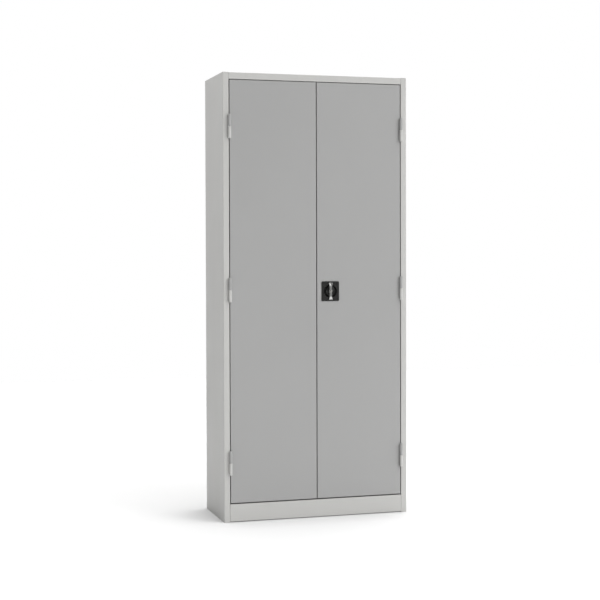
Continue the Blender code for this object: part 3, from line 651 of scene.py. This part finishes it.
def turn(name, profile, centre, steps, closed=False):
    """Draw a profile of (radius, place along Y) and spin it round the axis through its centre."""
    start_clean()
    across, up = centre
    points = [Vector((across + radius, place, up)) for radius, place in profile]
    if closed:
        points.append(points[0])
    bpy.ops.mesh.primitive_plane_add(size=SEED_SIZE, location=points[0])
    piece = settle(name)
    bpy.ops.object.mode_set(mode="EDIT")
    bpy.ops.mesh.select_mode(type="VERT")
    bpy.ops.mesh.select_all(action="SELECT")
    bpy.ops.mesh.merge(type="CENTER")
    for first, last in zip(points, points[1:]):
        bpy.ops.mesh.extrude_region_move(TRANSFORM_OT_translate={"value": last - first})
    bpy.ops.mesh.select_all(action="SELECT")
    bpy.ops.mesh.spin(
        steps=steps, angle=math.tau, center=(across, 0.0, up), axis=(0.0, 1.0, 0.0)
    )
    finish_shape(piece)
    return piece


def lock_round(name, radius, front, back, steps, rim=((0.0, 0.0),)):
    """A round piece on the lock's axis; its rim is inset and set back by pairs of steps."""
    profile = [(0.0, front + rim[0][1])]
    profile += [(radius - inset, front + depth) for inset, depth in rim]
    profile += [(radius, back), (0.0, back)]
    return turn(name, profile, LOCK_AXIS, steps)


def dome(radius, seat, height, shares):
    """Profile of a low head on its seat, from shares of its radius and height."""
    return [(radius * across, seat + height * up) for across, up in shares]


def combine(piece, tool, operation):
    """Join or cut with another piece, and take that piece away."""
    modifier = piece.modifiers.new("combine", "BOOLEAN")
    modifier.operation = operation
    modifier.solver = "EXACT"
    modifier.object = tool
    select_only(piece)
    bpy.ops.object.modifier_apply(modifier=modifier.name)
    bpy.data.objects.remove(tool)


def dress(piece, finish, body, slot, *replaced):
    """Give a finished piece its finish and its body, and hide the nodes that it stands for; its
    slot is not used.
    """
    piece.data.materials.clear()
    piece.data.materials.append(finish)
    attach(piece, body)
    if replaced:
        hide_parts(*replaced)


# Lock

def lock_face():
    """Moulded plate with a raised rim, its round bowl and the housing behind."""
    plate = lock_block("lock_face", PLATE_WIDTH / 2, PLATE_HEIGHT / 2, PLATE_FACE, PLATE_BACK)
    pick(plate, "EDGE", front_to_back)
    bpy.ops.mesh.bevel(offset=PLATE_CORNER, segments=PLATE_CORNER_STEPS, affect="EDGES")
    pick(plate, "FACE", facing_front)
    bpy.ops.mesh.region_to_loop()
    bpy.ops.mesh.bevel(offset=PLATE_EDGE, segments=PLATE_EDGE_STEPS, affect="EDGES")
    pick(plate, "FACE", facing_front)
    bpy.ops.mesh.inset(thickness=PLATE_RIM, depth=0.0)
    bpy.ops.mesh.inset(thickness=PLATE_SINK, depth=-PLATE_SINK)
    finish_shape(plate)
    opening = lock_round(
        "opening", HOUSING_RADIUS - HOUSING_LAP, PLATE_FACE - PROUD, PLATE_BACK + PROUD, FINE
    )
    combine(plate, opening, "DIFFERENCE")
    combine(plate, lock_bowl(), "UNION")
    smooth(plate)
    dress(plate, BLACK, "right_door", "lock_black", "lock_plate")


def lock_bowl():
    """Bowl with a rounded bead at its rim, and a bore for the spindle."""
    field = PLATE_FACE + PLATE_SINK
    bead = BEAD_WIDTH / 2
    skirt = BOWL_RADIUS + BEAD_WIDTH + BEAD_SKIRT
    profile = [(BORE_RADIUS, BOWL_FLOOR)]
    for step in range(BOWL_STEPS + 1):
        angle = step / BOWL_STEPS * math.pi / 2
        radius = BOWL_RADIUS - BOWL_WALL + BOWL_WALL * math.sin(angle)
        place = PLATE_FACE + bead + (BOWL_FLOOR - PLATE_FACE - bead) * math.cos(angle)
        profile.append((radius, place))
    for angle in map(math.radians, BEAD_ANGLES):
        radius = BOWL_RADIUS + bead - bead * math.cos(angle)
        profile.append((radius, PLATE_FACE + bead - bead * math.sin(angle)))
    profile += [(skirt, field), (skirt, field + BEAD_BED)]
    profile += [(HOUSING_RADIUS, field + HOUSING_FRONT), (HOUSING_RADIUS, HOUSING_BACK)]
    profile += [(BORE_RADIUS, HOUSING_BACK)]
    return turn("bowl", profile, LOCK_AXIS, FINE, closed=True)


def lock_rotor():
    """Round rotor with a raised rim and a shallow groove, on its spindle."""
    profile = [(radius, ROTOR_FACE + depth) for radius, depth in ROTOR_ROWS]
    for step in range(ROTOR_ROUND_STEPS + 1):
        angle = math.radians(90 * step / ROTOR_ROUND_STEPS - 90)
        radius = ROTOR_RADIUS - ROTOR_ROUND + ROTOR_ROUND * math.cos(angle)
        profile.append((radius, ROTOR_FACE + ROTOR_ROUND + ROTOR_ROUND * math.sin(angle)))
    profile += [(ROTOR_RADIUS, ROTOR_BACK), (SPINDLE_RADIUS, ROTOR_BACK)]
    profile += [(SPINDLE_RADIUS, SPINDLE_END), (0.0, SPINDLE_END)]
    rotor = turn("lock_rotor_disc", profile, LOCK_AXIS, FINE)
    half = SPINDLE_SQUARE / 2
    combine(rotor, lock_block("square", half, half, SPINDLE_END - PROUD, CAM_BACK), "UNION")
    half = PEG_SIDE / 2 + PLUG_GAP
    room = lock_block("room", half, half, ROTOR_FACE - PROUD, PEG_BACK + PLUG_GAP)
    combine(rotor, room, "DIFFERENCE")
    smooth(rotor)
    dress(rotor, BLACK, "handle", "lock_black", "lock_rotor")


def lock_bar():
    """Chromed bar: narrow waist, flared ends with thumb scoops, a hub and a square peg."""
    half_length = BAR_LENGTH / 2
    waist = BAR_WAIST_LENGTH / 2
    flare = half_length - waist
    bar = lock_block("lock_bar", BAR_WAIST / 2, half_length, BAR_FACE, BAR_BACK)
    stations = [waist + flare * step / BAR_FLARE_STEPS for step in range(BAR_FLARE_STEPS + 1)]
    for station in stations[:-1]:
        for hand in (-1, 1):
            pick(bar, "FACE", lambda middle, normal: True)
            level = (LOCK_X, 0.0, LOCK_Z + hand * station)
            bpy.ops.mesh.bisect(plane_co=level, plane_no=(0.0, 0.0, 1.0))
    for station in stations[1:]:
        share = (station - waist) / flare
        wider = 1.0 + (BAR_END / BAR_WAIST - 1.0) * share ** BAR_FLARE
        pick(bar, "VERT", lambda place, normal: abs(abs(place.z - LOCK_Z) - station) < NEAR)
        bpy.ops.transform.resize(value=(wider, 1.0, 1.0), center_override=(LOCK_X, 0.0, LOCK_Z))
    end = half_length - NEAR
    pick(bar, "EDGE", lambda middle, way: abs(way.y) > ALONG and abs(middle.z - LOCK_Z) > end)
    bpy.ops.mesh.bevel(offset=BAR_CORNER, segments=BAR_CORNER_STEPS, affect="EDGES")
    pick(bar, "FACE", facing_front)
    bpy.ops.mesh.region_to_loop()
    bpy.ops.mesh.bevel(offset=BAR_EDGE, segments=BAR_EDGE_STEPS, affect="EDGES")
    finish_shape(bar)
    for hand in (-1, 1):
        start_clean()
        place = (LOCK_X, BAR_FACE - SCOOP_STAND, LOCK_Z + hand * half_length)
        bpy.ops.mesh.primitive_uv_sphere_add(
            segments=SCOOP_SEGMENTS, ring_count=SCOOP_RINGS, radius=1.0, location=place
        )
        bpy.context.object.scale = SCOOP_SIZE
        combine(bar, settle("scoop"), "DIFFERENCE")
    hub = lock_round("hub", HUB_RADIUS, BAR_FACE, HUB_BACK, MEDIUM, HUB_RIM)
    combine(bar, hub, "UNION")
    half = PEG_SIDE / 2
    combine(bar, lock_block("peg", half, half, HUB_BACK - PROUD, PEG_BACK), "UNION")
    hole = lock_round(
        "hole", PLUG_RADIUS + PLUG_GAP, BAR_FACE - PROUD, BAR_FACE + PLUG_DEPTH + PLUG_GAP, MEDIUM
    )
    combine(bar, hole, "DIFFERENCE")
    smooth(bar)
    dress(bar, CHROME, "handle", "chrome", "lock_handle")


def key_plug():
    """Key plug with a stepped rim and its slot."""
    back = BAR_FACE + PLUG_DEPTH
    plug = lock_round("key_plug_face", PLUG_RADIUS, BAR_FACE, back, MEDIUM, PLUG_RIM)
    width, depth, height = KEY_SLOT
    slot = lock_block("slot", width / 2, height / 2, BAR_FACE - PROUD, BAR_FACE + depth)
    pick(slot, "EDGE", front_to_back)
    bpy.ops.mesh.bevel(offset=KEY_SLOT_CORNER, segments=KEY_SLOT_CORNER_STEPS, affect="EDGES")
    finish_shape(slot)
    combine(plug, slot, "DIFFERENCE")
    smooth(plug)
    dress(plug, NICKEL, "key_plug", "chrome", "lock_key_plug")


# Fastenings and buffers

def spread(piece, name, moves):
    """Number a piece and its copies; each has its own mesh and sits one move from the first."""
    pieces = [piece]
    for move in moves:
        select_only(piece)
        bpy.ops.object.duplicate(linked=False)
        bpy.ops.transform.translate(value=move)
        bpy.ops.object.transform_apply(location=True, rotation=False, scale=False)
        pieces.append(bpy.context.object)
    for number, made in enumerate(pieces, 1):
        made.name = f"{name}_{number}"
        made.data.name = made.name
    return pieces


def case_screws():
    """Four pan head screws with a cross recess, through the flanges of the lock's case."""
    low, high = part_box("lock_case")
    left, right = low.x + CASE_FLANGE / 2, high.x - CASE_FLANGE / 2
    bottom, top = LOCK_Z - SCREW_RISE, LOCK_Z + SCREW_RISE
    seat = low.y + CASE_SHEET
    radius, height = SCREW_HEAD
    shank, length = SCREW_SHANK
    profile = dome(radius, seat, height, SCREW_DOME_SHARES)
    profile += [(shank, seat), (shank, seat - length), (0.0, seat - length)]
    screw = turn("screw", profile, (left, bottom), COARSE)
    across, along, deep = SCREW_CROSS
    for width, rise in ((across, along), (along, across)):
        blade = new_block(
            "blade",
            (left - width / 2, seat + height - deep, bottom - rise / 2),
            (left + width / 2, seat + height * 2, bottom + rise / 2),
        )
        combine(screw, blade, "DIFFERENCE")
    finish_shape(screw)
    moves = [
        (0.0, 0.0, top - bottom), (right - left, 0.0, 0.0), (right - left, 0.0, top - bottom),
    ]
    for made in spread(screw, "case_screw", moves):
        dress(made, ZINC, "right_door", "zinc_plate")


def guide_rivets():
    """Two blind rivets through each rod guide and each bolt housing, into the leaf's lip."""
    radius, height = RIVET_HEAD
    homes = [
        ("rod_guide_upper", "right_door"), ("rod_guide_lower", "right_door"),
        ("bolt_housing_upper", "left_door"), ("bolt_housing_lower", "left_door"),
    ]
    places = []
    for home, body in homes:
        low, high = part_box(home)
        centre = (low + high) / 2
        for hand in (-1, 1):
            places.append((Vector((centre.x + hand * RIVET_SPREAD, 0.0, centre.z)), body))
    seat = high.y
    end = LEAF_BACK - LEAF_LIP
    profile = [(across, seat + height - depth) for across, depth in RIVET_ROWS]
    profile += [(radius, seat + RIVET_RIM), (radius, seat)]
    profile += [(RIVET_SHANK, seat), (RIVET_SHANK, end), (0.0, end)]
    first = places[0][0]
    rivet = turn("rivet", profile, (first.x, first.z), COARSE)
    moves = [place - first for place, body in places[1:]]
    for made, (place, body) in zip(spread(rivet, "guide_rivet", moves), places):
        dress(made, ZINC, body, "zinc_plate")


def leaf_buffers():
    """Rubber discs stuck on the stops: three behind each hinge edge and two at the top."""
    radius, thickness = BUFFER_SIZE
    side, bottom = LEAF_EDGE - BUFFER_IN, BUFFER_PLACES[0]
    face, bed = STOP_FACE - thickness, STOP_FACE + BUFFER_BED
    profile = [(across, face + depth) for across, depth in BUFFER_ROWS]
    profile += [(radius, face + BUFFER_RIM), (radius, bed), (0.0, bed)]
    buffer = turn("buffer", profile, (side, bottom), COARSE)
    rise = LEAF_TOP - TOP_STOP_MIDDLE - bottom
    moves = [(0.0, 0.0, height - bottom) for height in BUFFER_PLACES[1:]]
    moves += [(-2 * side, 0.0, height - bottom) for height in BUFFER_PLACES]
    moves += [(hand * TOP_BUFFER_X - side, 0.0, rise) for hand in (-1, 1)]
    for made in spread(buffer, "leaf_buffer", moves):
        dress(made, RUBBER, "carcass", "carcass_paint")


def stiffener_welds():
    """Low spot welds down both flanges of each leaf's stiffener, under the paint."""
    radius, rise = WELD_SIZE
    low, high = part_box("door_stiffener_left")
    columns = [(low.x + WELD_FLANGE / 2, "left_door"), (high.x - WELD_FLANGE / 2, "left_door")]
    columns += [(-column, "right_door") for column, body in columns]
    count = int((high.z - low.z - WELD_FIRST) / WELD_STEP) + 1
    rows = [low.z + WELD_FIRST + WELD_STEP * row for row in range(count)]
    places = [(column, row, body) for column, body in columns for row in rows]
    profile = dome(radius, low.y + WELD_SHEET, rise, WELD_DOME_SHARES)
    first = places[0]
    weld = turn("weld", profile, first[:2], COARSE)
    moves = [(column - first[0], 0.0, row - first[1]) for column, row, body in places[1:]]
    for made, place in zip(spread(weld, "stiffener_weld", moves), places):
        dress(made, LEAF_PAINT, place[2], "door_paint")


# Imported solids

def paint_nodes():
    """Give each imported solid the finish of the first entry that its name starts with."""
    finishes = [
        ("hinge_post", CARCASS_PAINT), ("hinge_barrel", LEAF_PAINT), ("door", LEAF_PAINT),
        ("shelf_clip", ZINC), ("lock_case", ZINC), ("lock_cam", ZINC), ("lock_rod", ZINC),
        ("bolt_housing", NYLON), ("rod_guide", NYLON), ("bolt", ZINC),
        ("lock_plate", BLACK), ("lock_rotor", BLACK), ("lock_handle", CHROME),
        ("lock_key_plug", NICKEL), ("", CARCASS_PAINT),
    ]
    for name, node in nodes.items():
        finish = next(finish for start, finish in finishes if name.startswith(start))
        for place in node.material_slots:
            place.material = finish


def smoothed_solids():
    """Copies of the round solids, shaded smooth, in place of the solids."""
    kinds = [
        ("hinge_post_", CARCASS_PAINT, "carcass_paint"),
        ("hinge_barrel_", LEAF_PAINT, "door_paint"),
        ("lock_cam", ZINC, "zinc_plate"),
    ]
    for name, node in nodes.items():
        for start, finish, slot in kinds:
            if name.startswith(start):
                twin = bpy.data.objects.new("smooth_" + name, node.data.copy())
                bpy.context.scene.collection.objects.link(twin)
                finish_shape(twin)
                dress(twin, finish, body_of(node)[0], slot, name)


# Studio

def studio_floor():
    """Pale floor that runs past the picture and keeps the cupboard's soft shadow, deepened close
    by with a painted shadow.
    """
    start_clean()
    bpy.ops.mesh.primitive_plane_add(size=FLOOR_SIZE, location=(0.0, 0.0, 0.0))
    floor = settle("studio_floor")
    finish, tree, shader = new_finish("studio_floor_paper")
    fibre = noise(tree, own_place(tree), Scale=4.0, Detail=3.0)
    paper = blend_colours(tree, fibre, shade(PAPER_DEEP), shade(PAPER_PALE))
    # Painted shadow: the paper darkens towards PAPER_SHADED where the cupboard stands close
    painted_shadow = effect(tree, SEAM_SHADE, Reach=0.20, Starts=1.0, Full=0.45)["Mask"]
    path = put(tree, "ShaderNodeLightPath").outputs
    seen = maths(tree, "ADD", path["Is Camera Ray"], path["Is Glossy Ray"], clamp=True)
    feed(tree, shader["Base Color"], blend_colours(tree, painted_shadow, paper, shade(PAPER_SHADED)))
    feed(tree, shader["Emission Color"], shade(WHITE))
    feed(tree, shader["Emission Strength"], portion(tree, seen, FLOOR_GLOW))
    feed(tree, shader["Roughness"], 0.9)
    feed(tree, shader["Specular IOR Level"], 0.0)
    floor.data.materials.append(finish)


def soft_box(name, place, target, size, power):
    """A square area light that looks at a point."""
    start_clean()
    bpy.ops.object.light_add(type="AREA", location=place)
    light = bpy.context.object
    light.name = name
    light.data.shape = "SQUARE"
    light.data.size = size
    light.data.energy = power
    light.rotation_euler = (Vector(target) - Vector(place)).to_track_quat("-Z", "Y").to_euler()


def studio_world():
    """Light from all round, stronger from above and the right, and white to the camera."""
    world = bpy.data.worlds.new("studio")
    bpy.context.scene.world = world
    world.use_nodes = True
    tree = world.node_tree
    heading = put(tree, "ShaderNodeTexCoord").outputs["Generated"]
    across, deep, up = put(tree, "ShaderNodeSeparateXYZ", Vector=heading).outputs
    overhead = ramp(tree, up, start=HORIZON_LIGHT, end=ZENITH_LIGHT)
    lean = ramp(tree, across, low=-0.7, high=0.3, start=LEFT_SHARE)
    soft = maths(tree, "MULTIPLY", overhead, lean)
    reflected = ramp(tree, deep, low=-0.7, high=0.2, start=FRONT_REFLECTION)
    path = put(tree, "ShaderNodeLightPath").outputs
    shown = mixed(tree, path["Is Glossy Ray"], soft, reflected)
    seen = maths(tree, "ADD", path["Is Camera Ray"], path["Is Transmission Ray"], clamp=True)
    background = tree.nodes["Background"].inputs
    feed(tree, background["Color"], shade(WHITE))
    feed(tree, background["Strength"], mixed(tree, seen, shown, 1.0))


def photo_camera():
    """Camera at the viewing angle of the photograph."""
    start_clean()
    bpy.ops.object.camera_add(location=CAMERA_PLACE)
    camera = bpy.context.object
    camera.name = "photo_camera"
    heading = Matrix.Rotation(math.radians(CAMERA_HEADING), 4, "Z")
    tilt = Matrix.Rotation(math.radians(CAMERA_TILT), 4, "X")
    roll = Matrix.Rotation(math.radians(CAMERA_ROLL), 4, "Z")
    camera.rotation_euler = (heading @ tilt @ roll).to_euler()
    camera.data.lens = CAMERA_LENS
    camera.data.sensor_width = CAMERA_SENSOR
    camera.data.shift_y = CAMERA_SHIFT
    bpy.context.scene.camera = camera


# The whole scene in order

paint_nodes()
lock_face()
lock_rotor()
lock_bar()
key_plug()
case_screws()
guide_rivets()
leaf_buffers()
stiffener_welds()
smoothed_solids()

bpy.context.scene.view_settings.view_transform = "Standard"
studio_floor()
studio_world()
for light in SOFT_BOXES:
    soft_box(*light)
photo_camera()

start_clean()
